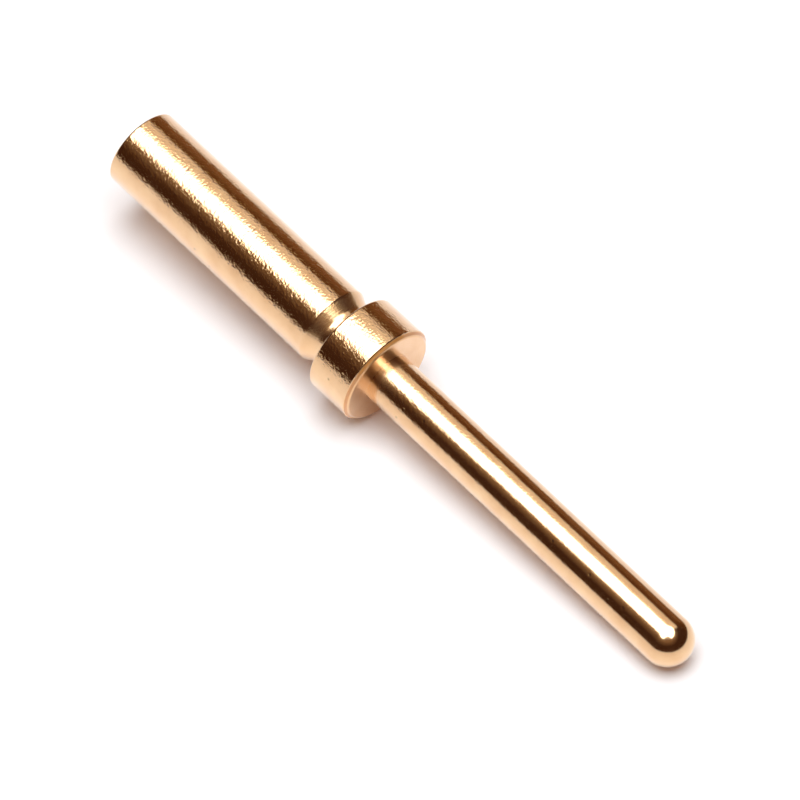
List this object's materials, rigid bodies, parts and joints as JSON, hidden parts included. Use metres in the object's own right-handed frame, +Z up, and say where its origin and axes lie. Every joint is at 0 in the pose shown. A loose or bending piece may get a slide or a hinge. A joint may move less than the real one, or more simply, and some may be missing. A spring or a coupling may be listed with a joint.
{
  "type": "pin terminal",
  "caption": "Turned gold-plated pin terminal with a hollow crimp barrel for a wire, a neck, a locating collar and a straight round-nosed pin that plugs into a socket.",
  "frame": {"origin": "centre of the collar's front face, on the axis", "axes": "+X along the axis towards the pin's tip, +Z up, with the barrel's inspection hole facing -Z"},
  "size_m": [0.0149, 0.002, 0.002],
  "materials": {
    "gold_plate": "bright gold plate over a turned copper alloy, fine grain on the barrel and collar"
  },
  "bodies": {
    "root": {"pin_contact": "gold_plate"}
  },
  "joints": []
}
